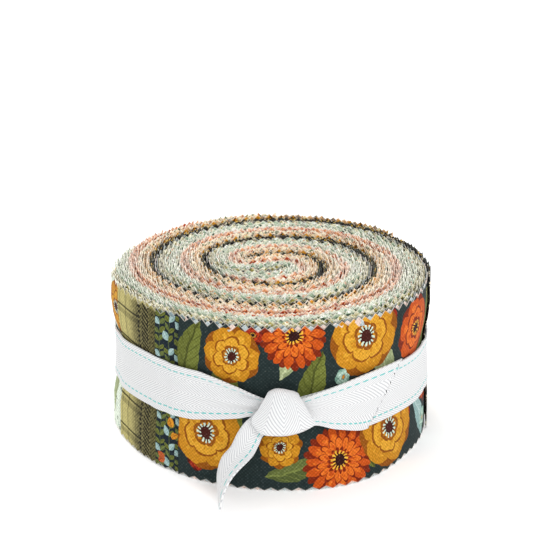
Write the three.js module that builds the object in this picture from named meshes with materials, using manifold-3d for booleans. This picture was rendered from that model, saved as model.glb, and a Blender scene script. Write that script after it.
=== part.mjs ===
// A bundle of precut quilting strips, folded in half, wound into a roll and tied with twill tape.
// Millimetres, +Z up. The origin is at the middle of the roll's base, and the knot faces -Y.
import * as THREE from 'three';
import { mergeVertices } from 'three/addons/utils/BufferGeometryUtils.js';
import Module from 'manifold-3d';

// The strips: 2 1/2 inches wide from tooth tip to tooth tip, with both edges pinked.
const STRIP_WIDTH = 63.5;
const TOOTH_PITCH = 4.9;
const TOOTH_DEPTH = 2.3;
const STACK_THICKNESS = 21.6;
const TURN_GAP = 0.5;

// The core. The folded end curls one way round the first pivot, and the stack then turns
// the other way round the second one. The two are one curl radius apart.
const FOLD_PIVOT = new THREE.Vector2(1.7, -0.4);
const CURL_RADIUS = 17.3;
const PIVOT_DIRECTION = 128;
const PIVOT_RADIUS = 0.6;

// Distance from the fold pivot to the inner face of the stack, on each turn, seen from above.
// Directions are degrees from +X, and the stack runs outward clockwise.
const WINDING = [
  { direction: 120, first: 17.3, second: 35.4, third: 56.6 },
  { direction: 90, first: 17.4, second: 36.9, third: 59.2 },
  { direction: 60, first: 18.6, second: 38.4, third: 60.2 },
  { direction: 30, first: 18.2, second: 37.6, third: 58.9 },
  { direction: 0, first: 17.9, second: 37.0, third: 57.8 },
  { direction: -30, first: 17.6, second: 35.9, third: 58.6 },
  { direction: -60, first: 17.6, second: 35.8, third: 60.7 },
  { direction: -90, first: 18.0, second: 37.2, third: 63.3 },
  { direction: -120, first: 18.2, second: 38.8, third: 62.2 },
  { direction: -150, first: 20.5, second: 41.6, third: 64.2 },
  { direction: -180, first: 25.2, second: 47.0, third: 69.0 },
  { direction: -210, first: 32.2, second: 52.4, third: 73.5 },
];

// The strips' loose ends on the outside, outermost first. turned is degrees clockwise from
// the first row above, and cover is the share of the stack that goes on past that end.
const LOOSE_ENDS = [
  { turned: 606.7, before: 0.99, cover: 0.965 },
  { turned: 617.7, before: 0.945, cover: 0.92 },
  { turned: 645.5, before: 0.835, cover: 0.81 },
  { turned: 657, before: 0.81, cover: 0.79 },
];

// Past those, the share of the stack that still lies on the outside. The last strips end
// at the right of the knot.
const TAPER = [
  { turned: 657, cover: 0.79 },
  { turned: 668, cover: 0.71 },
  { turned: 685, cover: 0.57 },
  { turned: 705, cover: 0.45 },
  { turned: 720, cover: 0.37 },
  { turned: 739, cover: 0.31 },
  { turned: 757, cover: 0.225 },
  { turned: 775, cover: 0.15 },
  { turned: 800, cover: 0.12 },
  { turned: 825, cover: 0.09 },
  { turned: 857, cover: 0.075 },
];
const LAST_TURNED = 857;

// How far the tied roll is drawn in at each height. It is a little flared where it stands,
// and more at the front right, over spread degrees to each side and up to a height.
const SIDE = [
  { height: 0, inward: -0.3 },
  { height: 20, inward: 0.8 },
  { height: 42, inward: 1 },
  { height: STRIP_WIDTH, inward: -0.2 },
];
const SIDE_RADIUS = 62;
const FLARE = { direction: -60, spread: 27, outward: 3.2, height: 20 };
const TOOTH_INSET = 1.5;

// The tie: 20 mm cotton twill tape round the roll, with one half knot at the front.
const TAPE_THICKNESS = 1;
const TAPE_CLEARANCE = 0.3;
const BAND_STATIONS = 80;
const TAIL_COLUMNS = 8;
const PINK_DEPTH = 1.8;

// The tape's upper and lower edge on the way round. It narrows to the knot at -90.
const BAND = [
  { direction: -180, upper: 42.2, lower: 22.6 },
  { direction: -160, upper: 43, lower: 22.5 },
  { direction: -148, upper: 44.1, lower: 23 },
  { direction: -137, upper: 44.3, lower: 23.3 },
  { direction: -118, upper: 44.5, lower: 25 },
  { direction: -110, upper: 43.2, lower: 27.1 },
  { direction: -102, upper: 40.7, lower: 29.4 },
  { direction: -96, upper: 38, lower: 30.4 },
  { direction: -87, upper: 37, lower: 27.5 },
  { direction: -77, upper: 38.5, lower: 26.8 },
  { direction: -67, upper: 40.4, lower: 23.2 },
  { direction: -57, upper: 41.2, lower: 20.5 },
  { direction: -48, upper: 41.2, lower: 20.5 },
  { direction: -37, upper: 40.4, lower: 20.5 },
  { direction: -27, upper: 39.6, lower: 19.9 },
  { direction: -18, upper: 39.2, lower: 19.6 },
  { direction: 90, upper: 40.8, lower: 21.2 },
  { direction: 180, upper: 42.2, lower: 22.6 },
];

// The right tail lies flat over the band, and its end is cut at a slant. off is how far
// its middle stands off the roll.
const RIGHT_TAIL = [
  { upper: -88, upperHeight: 37, lower: -88, lowerHeight: 28, off: 4.6 },
  { upper: -80, upperHeight: 39, lower: -79.5, lowerHeight: 26.6, off: 3.6 },
  { upper: -73.5, upperHeight: 40, lower: -73.5, lowerHeight: 24.3, off: 2.4 },
  { upper: -67, upperHeight: 41, lower: -68, lowerHeight: 22.6, off: 1.8 },
  { upper: -59, upperHeight: 42, lower: -63.5, lowerHeight: 21.1, off: 1.7 },
  { upper: -49.5, upperHeight: 42.5, lower: -60.2, lowerHeight: 20.3, off: 1.7 },
  { upper: -39.6, upperHeight: 42.3, lower: -57, lowerHeight: 20.2, off: 1.8 },
];

// The left tail hangs from the knot, twists edge on and stands on its cut end. Each row has
// the edge by the roll, the fold line down its middle and the front edge.
const LEFT_TAIL = [
  { back: [-6, -65.5, 31], middle: [-6.5, -67.5, 30], front: [-2, -68, 25] },
  { back: [-10.5, -64.8, 25], middle: [-12, -67, 25.4], front: [-5.1, -69, 21.2] },
  { back: [-13, -64.3, 19], middle: [-14.9, -67, 19.4], front: [-7, -71.5, 18.4] },
  { back: [-15.5, -63.7, 14.5], middle: [-18, -67, 15.6], front: [-9.6, -74, 16.5] },
  { back: [-17.3, -63.2, 10.5], middle: [-19.6, -67.5, 11.3], front: [-12.5, -76.5, 14.6] },
  { back: [-18.3, -62.9, 6.5], middle: [-20.2, -68.5, 7.5], front: [-15.3, -79, 12] },
  { back: [-18.5, -62.7, 3], middle: [-20.3, -69.8, 3.8], front: [-17.8, -80.8, 7] },
  { back: [-18.6, -62.6, 0.2], middle: [-19.8, -71.6, 0.2], front: [-19.2, -81.6, 0.2] },
];

// The knot's bulge, from its top down: the sides, and how far it stands forward.
const KNOT = [
  { height: 41.6, left: 1, right: 7, depth: 1.2 },
  { height: 40.2, left: -2, right: 9, depth: 3.4 },
  { height: 36, left: -3.6, right: 10.8, depth: 6 },
  { height: 32, left: -5.8, right: 13.6, depth: 7.4 },
  { height: 28.4, left: -7.4, right: 15.6, depth: 7.4 },
  { height: 25.4, left: -6.4, right: 15.8, depth: 5.6 },
  { height: 24, left: -4, right: 10, depth: 3.2 },
  { height: 23.3, left: -1, right: 6, depth: 1.2 },
];
const KNOT_BACK = -63.7;
const KNOT_FRONT_POINTS = 14;

const COLORS = { cotton: 0x35433f, tape: 0xf4f3f0 };

// Small helpers

function polar(centre, direction, distance) {
  const angle = THREE.MathUtils.degToRad(direction);
  return new THREE.Vector2(
    centre.x + distance * Math.cos(angle),
    centre.y + distance * Math.sin(angle),
  );
}

// A value read from a table by straight lines between its rows.
function tableValue(rows, key, column, at) {
  let index = rows.findIndex((row) => row[key] >= at);
  if (index === 0) return rows[0][column];
  if (index < 0) return rows[rows.length - 1][column];
  const before = rows[index - 1];
  const after = rows[index];
  const share = (at - before[key]) / (after[key] - before[key]);
  return THREE.MathUtils.lerp(before[column], after[column], share);
}

// The winding

const STEP_ANGLE = 30;
const faceDistances = [
  WINDING[0].first,
  ...WINDING.map((row) => row.first),
  ...WINDING.map((row) => row.second),
  ...WINDING.map((row) => row.third),
  ...WINDING.map((row) => row.third + STACK_THICKNESS),
];

// Distance from the fold pivot to the stack's inner face, smooth through the table's rows.
function faceDistance(turned) {
  const place = turned / STEP_ANGLE + 1;
  const index = Math.min(Math.max(Math.floor(place), 1), faceDistances.length - 3);
  const [a, b, c, d] = faceDistances.slice(index - 1, index + 3);
  const t = place - index;
  const linear = (c - a) / 2;
  const square = a - 2.5 * b + 2 * c - d / 2;
  const cube = (3 * (b - c) + d - a) / 2;
  return b + t * (linear + t * (square + t * cube));
}

function directionAt(turned) {
  return WINDING[0].direction - turned;
}

// The share of the stack's thickness that is still there, past each loose end.
function stackCover(turned) {
  const first = LOOSE_ENDS[0];
  if (turned < first.turned) return 1;
  for (let i = 1; i < LOOSE_ENDS.length; i += 1) {
    const from = LOOSE_ENDS[i - 1];
    const to = LOOSE_ENDS[i];
    if (turned < to.turned) {
      const share = (turned - from.turned) / (to.turned - from.turned);
      return THREE.MathUtils.lerp(from.cover, to.before, share);
    }
  }
  return tableValue(TAPER, 'turned', 'cover', turned);
}

function outerDistance(turned) {
  const inner = faceDistance(turned);
  return inner + stackCover(turned) * (faceDistance(turned + 360) - inner);
}

// Distance from the fold pivot to the outside of the roll in any direction.
function outsideDistance(direction) {
  let turned = directionAt(direction);
  while (turned < LAST_TURNED - 360) turned += 360;
  while (turned >= LAST_TURNED) turned -= 360;
  return outerDistance(turned);
}

// The roll

const turnPivot = polar(FOLD_PIVOT, PIVOT_DIRECTION, CURL_RADIUS);
const backDirection = PIVOT_DIRECTION - 180;
const halfTooth = TOOTH_PITCH / 2;
const halfGap = TURN_GAP / 2;

// The stack in plan: at each station, the point on its inner face and on its outer face.
// In the folded end, which curls the other way, the inner face is on the outside of the curl.
function stackStations() {
  const stations = [];
  const wedge = { steps: 6, fromTurned: 262, toTurned: 308, fromDirection: -52, toDirection: -150 };
  const innerCurl = CURL_RADIUS - PIVOT_RADIUS;

  for (let i = wedge.steps; i > 0; i -= 1) {
    const share = i / wedge.steps;
    const turned = THREE.MathUtils.lerp(wedge.fromTurned, wedge.toTurned, share);
    const direction = THREE.MathUtils.lerp(wedge.fromDirection, wedge.toDirection, share);
    stations.push({
      inner: polar(FOLD_PIVOT, directionAt(turned), faceDistance(turned) - halfGap),
      outer: polar(turnPivot, direction, innerCurl + TURN_GAP),
    });
  }
  const curlStart = directionAt(wedge.fromTurned);
  const curlSweep = PIVOT_DIRECTION - curlStart;
  const curlSteps = Math.round(THREE.MathUtils.degToRad(curlSweep) * CURL_RADIUS / halfTooth);
  for (let i = 0; i < curlSteps; i += 1) {
    const direction = curlStart + curlSweep * i / curlSteps;
    const turned = WINDING[0].direction - direction;
    stations.push({
      inner: polar(FOLD_PIVOT, direction, faceDistance(turned) - halfGap),
      outer: polar(FOLD_PIVOT, direction, PIVOT_RADIUS),
    });
  }
  const turnSteps = Math.round(Math.PI * CURL_RADIUS / halfTooth);
  const spiralStart = directionAt(PIVOT_DIRECTION);
  const joinRadius = faceDistance(spiralStart + 360) - halfGap - CURL_RADIUS;
  for (let i = 0; i < turnSteps; i += 1) {
    const share = i / turnSteps;
    const direction = backDirection - 180 * share;
    stations.push({
      inner: polar(turnPivot, direction, halfGap),
      outer: polar(turnPivot, direction, THREE.MathUtils.lerp(innerCurl, joinRadius, share ** 4)),
    });
  }
  let turned = spiralStart;
  while (turned < LAST_TURNED) {
    const inner = faceDistance(turned) + halfGap;
    const outer = outerDistance(turned) - halfGap;
    stations.push({
      inner: polar(FOLD_PIVOT, directionAt(turned), inner),
      outer: polar(FOLD_PIVOT, directionAt(turned), outer),
    });
    const next = turned + THREE.MathUtils.radToDeg(halfTooth / outer);
    const loose = LOOSE_ENDS.find((end) => turned < end.turned - 0.2 && next >= end.turned - 0.2);
    turned = loose ? loose.turned - 0.1 : next;
  }
  return stations;
}

function flareAt(offset, height) {
  const direction = THREE.MathUtils.radToDeg(Math.atan2(offset.y, offset.x));
  const away = Math.min(Math.abs(direction - FLARE.direction) / FLARE.spread, 1);
  const bell = (1 + Math.cos(Math.PI * away)) / 2;
  return FLARE.outward * bell * Math.max(1 - height / FLARE.height, 0);
}

// A point of the plan at a height, drawn in by the tie.
function drawnIn(point, height) {
  const offset = point.clone().sub(FOLD_PIVOT);
  const inward = tableValue(SIDE, 'height', 'inward', height) - flareAt(offset, height);
  const scale = 1 - inward * offset.length() / SIDE_RADIUS ** 2;
  const moved = offset.multiplyScalar(scale).add(FOLD_PIVOT);
  return new THREE.Vector3(moved.x, moved.y, height);
}

// A station's closed section: up the outer wall, over the top, and down the inner wall. The
// teeth stand along both walls. Between them the packed layers are level, at half a tooth on
// top and flat where the roll stands.
function stationSection(station, isTip) {
  const top = STRIP_WIDTH - (isTip ? 0 : TOOTH_DEPTH);
  const level = STRIP_WIDTH - TOOTH_DEPTH / 2;
  const foot = isTip ? 0 : TOOTH_DEPTH;
  const heights = [foot, SIDE[1].height, SIDE[2].height, top];
  const width = station.outer.distanceTo(station.inner);
  const inset = Math.min(TOOTH_INSET / width, 0.4);
  const nearOuter = station.outer.clone().lerp(station.inner, inset);
  const nearInner = station.inner.clone().lerp(station.outer, inset);
  return [
    drawnIn(nearOuter, 0),
    ...heights.map((height) => drawnIn(station.outer, height)),
    drawnIn(nearOuter, level),
    drawnIn(nearInner, level),
    ...heights.map((height) => drawnIn(station.inner, height)).reverse(),
    drawnIn(nearInner, 0),
  ];
}

function solidGeometry(points, triangles) {
  let volume = 0;
  for (let i = 0; i < triangles.length; i += 3) {
    const [a, b, c] = [0, 1, 2].map((k) => points[triangles[i + k]]);
    volume += a.dot(b.clone().cross(c));
  }
  const facing = volume < 0 ? triangles.slice().reverse() : triangles;
  const geometry = new THREE.BufferGeometry();
  geometry.setAttribute(
    'position',
    new THREE.Float32BufferAttribute(points.flatMap((point) => point.toArray()), 3),
  );
  geometry.setIndex(facing);
  return geometry;
}

function addQuad(triangles, a, b, c, d) {
  triangles.push(a, b, c, a, c, d);
}

function rollGeometry() {
  const sections = stackStations().map((station, i) => stationSection(station, i % 2 === 0));
  const count = sections[0].length;
  const points = sections.flat();
  const triangles = [];
  for (let i = 0; i + 1 < sections.length; i += 1) {
    for (let j = 0; j < count; j += 1) {
      const k = (j + 1) % count;
      const here = i * count;
      const next = here + count;
      addQuad(triangles, here + j, here + k, next + k, next + j);
    }
  }
  // Each end of the stack is closed by a ladder of faces between its two walls.
  const lastSection = (sections.length - 1) * count;
  for (let j = 0; j < count / 2 - 1; j += 1) {
    const k = count - 1 - j;
    addQuad(triangles, j, k, k - 1, j + 1);
    addQuad(triangles, lastSection + j + 1, lastSection + k - 1, lastSection + k, lastSection + j);
  }
  return solidGeometry(points, triangles);
}

// The tie

// A point beside the roll, off its drawn-in side.
function besideRoll(direction, height, off) {
  const reach = 3;
  const distances = [-reach, 0, reach].map((turn) => outsideDistance(direction + turn));
  const side = drawnIn(polar(FOLD_PIVOT, direction, Math.max(...distances)), height);
  const outward = polar(new THREE.Vector2(), direction, off);
  return new THREE.Vector3(side.x + outward.x, side.y + outward.y, height);
}

// A sheet of even thickness from a grid of points down its middle.
function sheetGeometry(rows, thickness, isRing) {
  const rowCount = rows.length;
  const columnCount = rows[0].length;
  const rowAt = (i) => {
    return isRing ? rows[(i + rowCount) % rowCount] : rows[Math.min(Math.max(i, 0), rowCount - 1)];
  };
  const front = [];
  const back = [];
  for (let i = 0; i < rowCount; i += 1) {
    for (let j = 0; j < columnCount; j += 1) {
      const along = rowAt(i + 1)[j].clone().sub(rowAt(i - 1)[j]);
      const across = rows[i][Math.min(j + 1, columnCount - 1)].clone();
      across.sub(rows[i][Math.max(j - 1, 0)]);
      const shift = across.cross(along).setLength(thickness / 2);
      front.push(rows[i][j].clone().add(shift));
      back.push(rows[i][j].clone().sub(shift));
    }
  }
  const points = [...front, ...back];
  const behind = front.length;
  const triangles = [];
  const spans = isRing ? rowCount : rowCount - 1;
  for (let i = 0; i < spans; i += 1) {
    const here = i * columnCount;
    const next = ((i + 1) % rowCount) * columnCount;
    for (let j = 0; j + 1 < columnCount; j += 1) {
      addQuad(triangles, here + j, here + j + 1, next + j + 1, next + j);
      addQuad(triangles, behind + next + j, behind + next + j + 1, behind + here + j + 1, behind + here + j);
    }
    const edge = columnCount - 1;
    addQuad(triangles, here, next, behind + next, behind + here);
    addQuad(triangles, here + edge, behind + here + edge, behind + next + edge, next + edge);
  }
  if (!isRing) {
    const last = (rowCount - 1) * columnCount;
    for (let j = 0; j + 1 < columnCount; j += 1) {
      addQuad(triangles, j, behind + j, behind + j + 1, j + 1);
      addQuad(triangles, last + j + 1, behind + last + j + 1, behind + last + j, last + j);
    }
  }
  return solidGeometry(points, triangles);
}

function bandGeometry() {
  const rows = [];
  for (let i = 0; i < BAND_STATIONS; i += 1) {
    const direction = -180 + 360 * i / BAND_STATIONS;
    const off = TAPE_CLEARANCE + TAPE_THICKNESS / 2;
    rows.push(['upper', 'lower'].map((edge) => {
      return besideRoll(direction, tableValue(BAND, 'direction', edge, direction), off);
    }));
  }
  return sheetGeometry(rows, TAPE_THICKNESS, true);
}

// The cut end's teeth: every other point of the last row is drawn back.
function pinkedRow(row, rowBefore, depth) {
  return row.map((point, j) => {
    const back = rowBefore[j].clone().sub(point).setLength(j % 2 === 1 ? depth : 0);
    return point.clone().add(back);
  });
}

function rightTailGeometry() {
  const rows = RIGHT_TAIL.map((row) => {
    const points = [];
    for (let j = 0; j <= TAIL_COLUMNS; j += 1) {
      const share = j / TAIL_COLUMNS;
      points.push(besideRoll(
        THREE.MathUtils.lerp(row.upper, row.lower, share),
        THREE.MathUtils.lerp(row.upperHeight, row.lowerHeight, share),
        row.off,
      ));
    }
    return points;
  });
  const last = rows.length - 1;
  rows[last] = pinkedRow(rows[last], rows[last - 1], PINK_DEPTH);
  return sheetGeometry(rows, TAPE_THICKNESS, false);
}

function leftTailGeometry() {
  const half = TAIL_COLUMNS / 2;
  const rows = LEFT_TAIL.map((row) => {
    const [back, middle, front] = [row.back, row.middle, row.front].map((p) => new THREE.Vector3(...p));
    const points = [];
    for (let j = 0; j <= TAIL_COLUMNS; j += 1) {
      const point = j < half ? back.clone() : middle.clone();
      points.push(point.lerp(j < half ? middle : front, (j < half ? j : j - half) / half));
    }
    return points;
  });
  const last = rows.length - 1;
  rows[last] = pinkedRow(rows[last], rows[last - 1], PINK_DEPTH);
  return sheetGeometry(rows, TAPE_THICKNESS, false);
}

function knotGeometry() {
  const points = [];
  const triangles = [];
  const count = KNOT_FRONT_POINTS + 1;
  KNOT.forEach((row) => {
    for (let j = 0; j < count; j += 1) {
      const angle = Math.PI * j / KNOT_FRONT_POINTS;
      const share = (1 - Math.cos(angle)) / 2;
      const x = THREE.MathUtils.lerp(row.left, row.right, share);
      const forward = row.depth * Math.sin(angle) ** 0.7;
      points.push(new THREE.Vector3(x, KNOT_BACK - forward, row.height));
    }
  });
  for (let i = 0; i + 1 < KNOT.length; i += 1) {
    for (let j = 0; j < count; j += 1) {
      const k = (j + 1) % count;
      addQuad(triangles, i * count + j, i * count + k, (i + 1) * count + k, (i + 1) * count + j);
    }
  }
  const last = (KNOT.length - 1) * count;
  for (let j = 1; j + 1 < count; j += 1) {
    triangles.push(0, j + 1, j);
    triangles.push(last, last + j, last + j + 1);
  }
  return solidGeometry(points, triangles);
}

// Joining the tape's lengths into one solid

const wasm = await Module();
wasm.setup();

function toManifold(geometry) {
  const bare = geometry.clone();
  bare.deleteAttribute('normal');
  bare.deleteAttribute('uv');
  const merged = mergeVertices(bare, 1e-5);
  return new wasm.Manifold(new wasm.Mesh({
    numProp: 3,
    vertProperties: new Float32Array(merged.attributes.position.array),
    triVerts: new Uint32Array(merged.index.array),
  }));
}

function fromManifold(solid) {
  const mesh = solid.getMesh();
  const geometry = new THREE.BufferGeometry();
  geometry.setAttribute('position', new THREE.BufferAttribute(mesh.vertProperties, 3));
  geometry.setIndex(new THREE.BufferAttribute(mesh.triVerts, 1));
  return geometry;
}

function tieGeometry() {
  let tie = toManifold(bandGeometry());
  for (const length of [knotGeometry(), rightTailGeometry(), leftTailGeometry()]) {
    tie = tie.add(toManifold(length));
  }
  return fromManifold(tie);
}

function addPart(group, name, geometry, material) {
  geometry.computeVertexNormals();
  const mesh = new THREE.Mesh(geometry, material);
  mesh.name = name;
  group.add(mesh);
}

const bundle = new THREE.Group();
addPart(bundle, 'roll', rollGeometry(), new THREE.MeshStandardMaterial({
  color: COLORS.cotton,
  roughness: 0.9,
  metalness: 0,
}));
addPart(bundle, 'tie', tieGeometry(), new THREE.MeshStandardMaterial({
  color: COLORS.tape,
  roughness: 0.85,
  metalness: 0,
}));

export default bundle;
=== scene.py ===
"""Forty quilting strips, folded in half, wound into a roll and tied with herringbone tape.

Tables and prints are in millimetres, with angles in degrees where no comment says radians.
Meshes are in metres. Seen from above the stack of strips runs outward clockwise. The knot
faces -Y.
"""

import math
import random

import bpy
import numpy as np
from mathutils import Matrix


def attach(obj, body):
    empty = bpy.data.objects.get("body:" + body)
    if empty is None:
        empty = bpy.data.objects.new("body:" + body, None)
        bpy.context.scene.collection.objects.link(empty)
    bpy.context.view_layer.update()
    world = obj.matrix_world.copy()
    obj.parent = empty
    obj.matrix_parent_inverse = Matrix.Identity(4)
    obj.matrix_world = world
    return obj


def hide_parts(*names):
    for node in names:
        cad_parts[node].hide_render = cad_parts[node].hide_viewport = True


MM = 0.001

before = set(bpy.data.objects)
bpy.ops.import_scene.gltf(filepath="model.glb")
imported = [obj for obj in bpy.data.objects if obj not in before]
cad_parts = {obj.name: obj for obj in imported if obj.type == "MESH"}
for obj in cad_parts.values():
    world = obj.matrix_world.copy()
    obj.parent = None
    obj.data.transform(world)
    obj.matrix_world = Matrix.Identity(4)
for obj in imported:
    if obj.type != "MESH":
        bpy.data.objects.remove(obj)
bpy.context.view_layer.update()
body = "root"


# Camera

def place_camera():
    """Sets the view of the photograph: a long lens, looking 20 degrees down on the roll."""
    lens = bpy.data.cameras.new("camera")
    lens.sensor_width = 36
    lens.lens = 121.24
    lens.clip_start = 0.05
    lens.clip_end = 20
    camera = bpy.data.objects.new("camera", lens)
    camera.location = (-0.0024, -0.654, 0.3045)
    camera.rotation_euler = (math.radians(69.84), 0, 0)
    bpy.context.collection.objects.link(camera)
    bpy.context.scene.camera = camera


place_camera()


# The strips: 2 1/2 inches by 45 inches, with pinked edges, each folded in half

STRIP_LENGTH = 1143
STRIP_WIDTH = 63.5
STRIP_COUNT = 40
CLOTH_THICKNESS = 0.2
COLUMNS = 466
TOOTH_DEPTH = 2.0
LOWER_TOOTH_DEPTH = 1.2
ROW_HEIGHTS = [0, 3.4, 14, 21, 33, 41, 47, 53, 60.1, STRIP_WIDTH]
LAYERS = 2 * STRIP_COUNT

# The path of the stack, as in the part's source: distance from the fold pivot to the stack's
# inner face on each turn, at every turn step clockwise from the first direction.
FOLD_PIVOT = np.array([1.7, -0.4])
CURL_RADIUS = 17.3
PIVOT_DIRECTION = 128
PIVOT_RADIUS = 0.6
STACK_THICKNESS = 21.6
TURN_GAP = 0.25
FIRST_DIRECTION = 120
TURN_STEP = 30
FIRST_TURN = [17.3, 17.4, 18.6, 18.2, 17.9, 17.6, 17.6, 18, 18.2, 20.5, 25.2, 32.2]
SECOND_TURN = [35.4, 36.9, 38.4, 37.6, 37, 35.9, 35.8, 37.2, 38.8, 41.6, 47, 52.4]
THIRD_TURN = [56.6, 59.2, 60.2, 58.9, 58.4, 59.1, 60.7, 63.3, 62.2, 64.2, 69, 73.5]

# Where the outermost strips' loose ends lie on the outside, in degrees clockwise from the
# first direction, and then the share of the stack that still goes on past them.
LOOSE_ENDS = [606.7, 617.7, 645.5, 657]
TAPER = [
    (606.6, 1), (606.7, 0.965), (617.6, 0.945), (617.7, 0.92), (645.4, 0.835), (645.5, 0.81),
    (657, 0.79), (668, 0.71), (685, 0.57), (705, 0.45), (720, 0.37), (739, 0.31),
    (757, 0.225), (775, 0.15), (800, 0.12), (825, 0.07), (850, 0.03),
]
LAST_TURNED = 850
# Degrees from one end to the next among the innermost strips.
LAST_STAGGER = 1.2

# How closely the layers are packed past the loose ends.
PACKING = [
    (600, 1), (604, 0.985), (616, 0.985), (629, 0.93), (640, 0.875), (657, 0.875), (700, 0.92),
    (800, 0.96), (LAST_TURNED, 1),
]

# How far the tied roll is drawn in at each height: in front and behind, and at its sides.
SIDE = [
    (0, -0.4, -0.6), (14, -0.1, -0.4), (21, 0.6, 0.8), (33, 1.1, 1.5), (41, 0.9, 1.4),
    (47, 0.2, 0.2), (53, -0.1, -0.4), (STRIP_WIDTH, -0.1, -0.1),
]
SIDE_RADIUS = 62

# Its foot is flared at the front right, and its top leans back in front: direction, degrees to
# each side, how far outward, and the heights where it starts and where it is full.
BULGES = [
    {"direction": -62, "spread": 32, "outward": 3.5, "starts": 20, "full": 0},
    {"direction": -93, "spread": 85, "outward": -2.9, "starts": 45, "full": STRIP_WIDTH},
]


def read_table(table, at):
    """Reads a table of pairs by straight lines between its rows."""
    return np.interp(at, [row[0] for row in table], [row[1] for row in table])


def ease(share):
    """A share from 0 to 1, slowed towards both ends."""
    return share * share * (3 - 2 * share)


def towards(direction):
    """The unit vector or vectors of a direction in degrees."""
    angle = np.radians(direction)
    return np.stack([np.cos(angle), np.sin(angle)], axis=-1)


FACE_DISTANCES = np.array(
    FIRST_TURN[:1] + FIRST_TURN + SECOND_TURN + THIRD_TURN
    + [distance + STACK_THICKNESS for distance in THIRD_TURN]
)


def curve_between(before, here, there, after, t):
    """A smooth curve from here, where t is 0, to there, where t is 1, led by their neighbours."""
    square = before - 2.5 * here + 2 * there - after / 2
    cube = (3 * (here - there) + after - before) / 2
    return here + t * ((there - before) / 2 + t * (square + t * cube))


def face_distance(turned):
    """Distance from the fold pivot to the stack's inner face, smooth through the table."""
    place = np.asarray(turned, float) / TURN_STEP + 1
    index = np.clip(np.floor(place).astype(int), 1, len(FACE_DISTANCES) - 3)
    near = [FACE_DISTANCES[index + shift] for shift in (-1, 0, 1, 2)]
    return curve_between(*near, place - index)


def about_fold(turned, distance):
    """Plan points at a distance from the fold pivot."""
    direction = FIRST_DIRECTION - np.asarray(turned, float)
    return FOLD_PIVOT + towards(direction) * np.asarray(distance)[..., None]


TURN_PIVOT = FOLD_PIVOT + CURL_RADIUS * towards(PIVOT_DIRECTION)

# How the layers end in the core. Those in the inner share of the stack stop where they meet
# the others, which spread from the start direction on and fill the folded end. Its reach along
# its two sides is about the fold pivot and about the turn pivot.
SHORT_LAYERS = 0.45
SHORT_START = -75
FOLDED_END = {"turned": (308, 262), "direction": (-150, -52)}
POINTS_A_DEGREE = 1.2


def core_path(share):
    """The folded end's path for one layer, from its fold out to the start of the spiral.

    share is 0 at the stack's inner face and 1 at its outer one. The end curls about the
    fold pivot, and then turns the other way about the second pivot. The layers of the
    outer part reach further in, and spread there to fill the end. Each of the others stops
    where it meets them.
    """
    curl_start = FIRST_DIRECTION - FOLDED_END["turned"][1]
    curl_end = FIRST_DIRECTION - PIVOT_DIRECTION + 360
    reach = max(0, (share - SHORT_LAYERS) / (1 - SHORT_LAYERS))
    points = []
    if share > SHORT_LAYERS:
        first = 0.75 * abs(2 * reach - 1) ** 1.6
        along = np.linspace(first, 1, 12)[:-1]
        turned = np.interp(along, [0, 1], FOLDED_END["turned"])
        direction = np.interp(along, [0, 1], FOLDED_END["direction"])
        inner = about_fold(turned, face_distance(turned) - TURN_GAP)
        outer = TURN_PIVOT + towards(direction) * (CURL_RADIUS - PIVOT_RADIUS + 2 * TURN_GAP)
        points.append(inner + (outer - inner) * reach)
        start = curl_start
    else:
        along = np.linspace(0, 0.8, 81)
        room = SHORT_LAYERS * (1 - ease(along))
        start = SHORT_START + (curl_start - SHORT_START) * np.interp(-share, -room, along)
    direction = np.linspace(start, PIVOT_DIRECTION, 90)
    turned = FIRST_DIRECTION - direction
    spread = ease(np.clip((SHORT_START - direction) / (SHORT_START - curl_start), 0, 1))
    at = share + (reach - share) * spread * (share > SHORT_LAYERS)
    outside = face_distance(turned) - TURN_GAP
    distance = outside + (PIVOT_RADIUS - outside) * at
    points.append(FOLD_PIVOT + towards(direction) * distance[:, None])
    join = face_distance(curl_end) - TURN_GAP - CURL_RADIUS
    along = np.linspace(0, 1, 60)[1:-1]
    outside = CURL_RADIUS - PIVOT_RADIUS + (join - CURL_RADIUS + PIVOT_RADIUS) * along ** 4
    distance = TURN_GAP + (outside - TURN_GAP) * share
    direction = PIVOT_DIRECTION - 180 - 180 * along
    points.append(TURN_PIVOT + towards(direction) * distance[:, None])
    return np.concatenate(points)


def layer_path(share, end):
    """The whole path of one layer in plan, from its fold to its loose end."""
    turned = np.linspace(FIRST_DIRECTION - PIVOT_DIRECTION, end, int(end * POINTS_A_DEGREE))
    inner = face_distance(turned) + TURN_GAP
    outer = face_distance(turned + 360) - TURN_GAP
    distance = inner + (outer - inner) * share * read_table(PACKING, turned)
    return np.concatenate([core_path(share), about_fold(turned, distance)])


def unevenly(points):
    """Moves plan points a little, together, so that no turn is a drawn curve."""
    x, y = points[:, 0], points[:, 1]
    fade = np.clip(1 - np.hypot(x, y) / 60, 0, 1)[:, None] ** 0.5
    push = np.stack([
        0.45 * np.sin(0.23 * x + 1.1) * np.cos(0.19 * y) + 0.2 * np.sin(0.52 * y + 0.31 * x),
        0.45 * np.cos(0.21 * x) * np.sin(0.24 * y + 0.7) + 0.2 * np.sin(0.47 * x - 0.36 * y),
    ], axis=-1)
    return points + push * fade


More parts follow.
